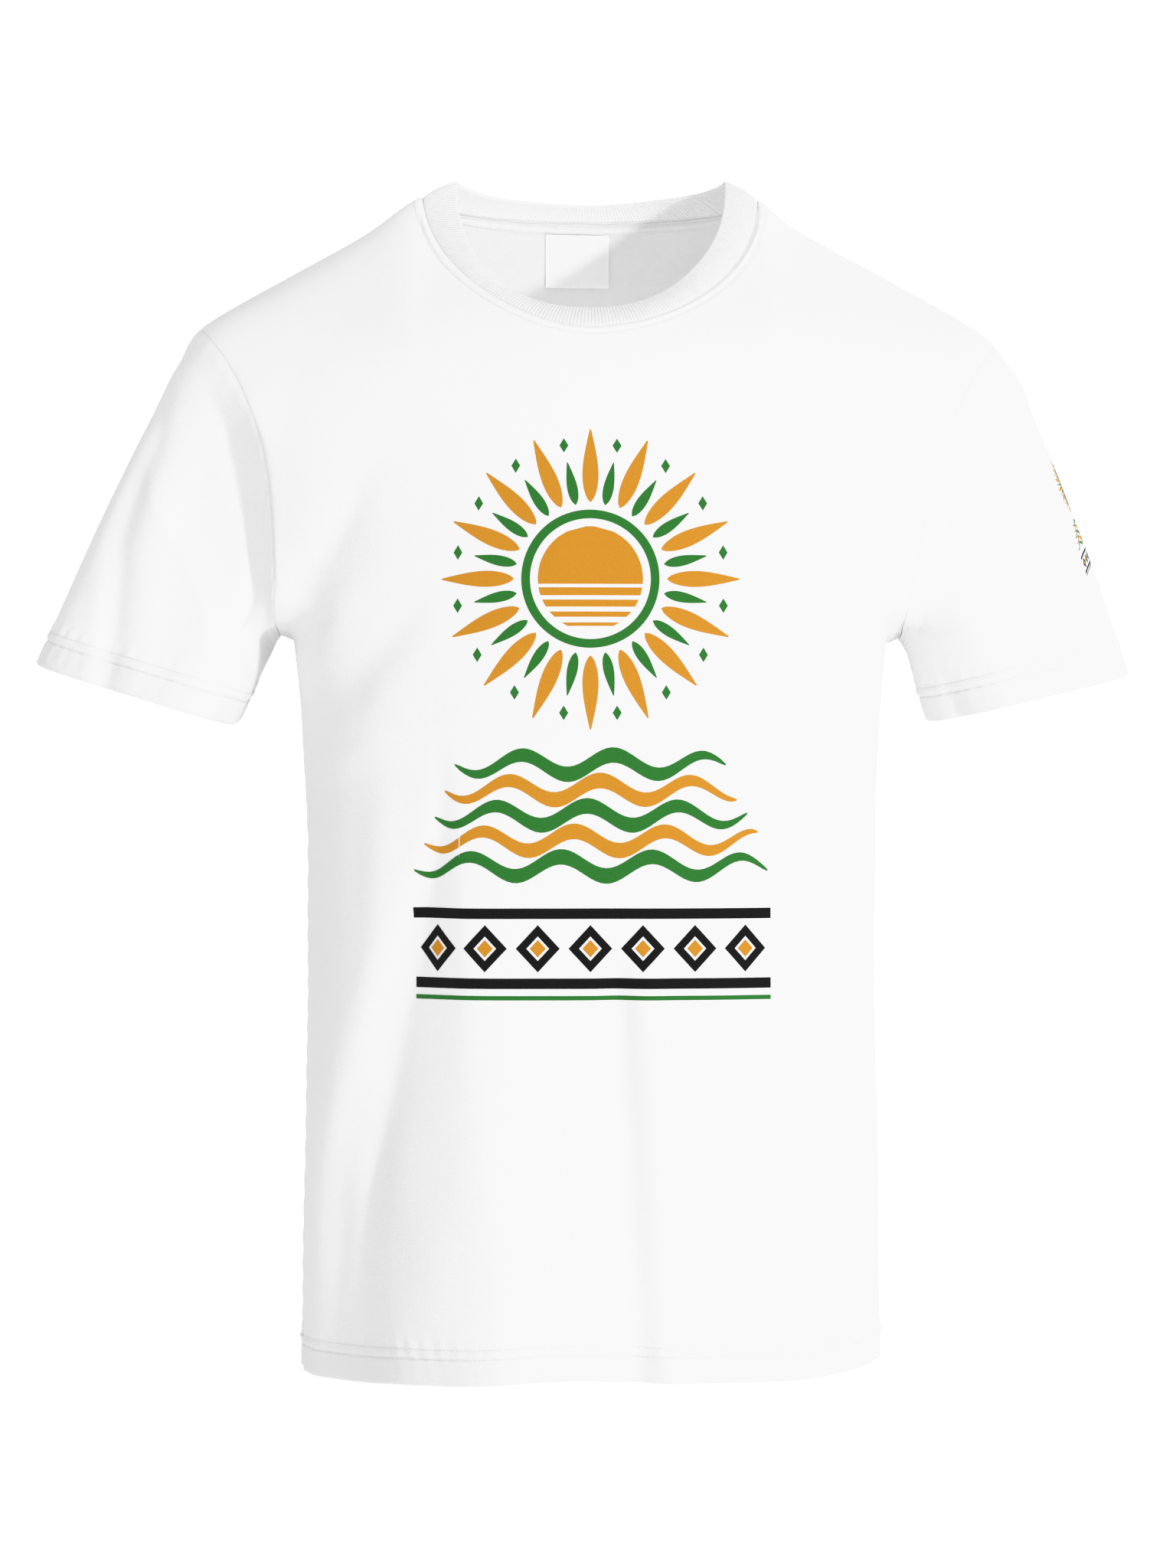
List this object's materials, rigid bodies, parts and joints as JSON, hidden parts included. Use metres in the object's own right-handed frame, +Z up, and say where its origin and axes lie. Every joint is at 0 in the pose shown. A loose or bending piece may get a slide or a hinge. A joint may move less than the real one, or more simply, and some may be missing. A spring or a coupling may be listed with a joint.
{
  "type": "t-shirt",
  "caption": "White crew-neck T-shirt with short set-in sleeves, a ribbed collar and folded hems, in its worn shape with nobody inside.",
  "frame": {"origin": "midway between the two high shoulder points, where the shoulder seams meet the collar rib; the wearer's shoulders hold the shirt up there", "axes": "+X to the wearer's left, -Y out of the front of the shirt, +Z up"},
  "size_m": [0.6468, 0.243, 0.7003],
  "materials": {
    "jersey": "matt white cotton jersey",
    "rib": "matt white cotton rib knit",
    "tape": "matt white folded jersey tape",
    "label": "smooth white woven label cloth"
  },
  "bodies": {
    "root": {"front_panel": "jersey", "front_hem": "jersey", "back_panel": "jersey", "back_hem": "jersey", "left_sleeve": "jersey", "left_sleeve_hem": "jersey", "right_sleeve": "jersey", "right_sleeve_hem": "jersey", "collar_rib": "rib", "neck_tape": "tape", "neck_label": "label"}
  },
  "joints": []
}
